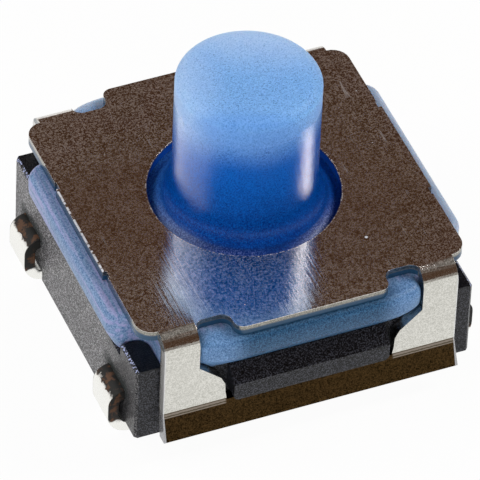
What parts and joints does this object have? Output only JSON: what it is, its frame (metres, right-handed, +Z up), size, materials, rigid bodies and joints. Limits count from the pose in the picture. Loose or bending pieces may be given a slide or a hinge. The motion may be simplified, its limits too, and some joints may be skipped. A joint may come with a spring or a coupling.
{
  "type": "tactile push button switch",
  "caption": "Sealed surface-mount tactile switch: square moulded base with folded leads, snapped-on sheet steel cover and a soft blue boot with a tall round stem that presses a snap dome.",
  "frame": {"origin": "on the board under the middle of the stem", "axes": "+X across the two lead faces, +Y across the two latch faces, +Z up along the stem"},
  "size_m": [0.0068, 0.0066, 0.0053],
  "materials": {
    "housing_plastic": "matt charcoal moulded plastic",
    "cover_steel": "bright rolled stainless sheet with fine straight rolling lines",
    "boot_silicone": "satin translucent blue silicone",
    "dome_silvered": "silver-plated spring steel",
    "lead_tin": "pale satin tin and silver plating"
  },
  "bodies": {
    "base": {"base_housing": "housing_plastic", "cover_frame": "cover_steel", "boot_skirt": "boot_silicone", "seal_flange": "boot_silicone", "snap_dome": "dome_silvered", "centre_terminal": "lead_tin", "ring_terminal": "lead_tin"},
    "button": {"button_stem": "boot_silicone"}
  },
  "joints": [
    {"name": "button_press", "type": "slide", "parent": "base", "child": "button", "axis": [0, 0, -1], "range_m": [0, 0.00035], "stiffness_N_per_m": 8500, "deforming": ["boot_skirt", "snap_dome"]}
  ]
}
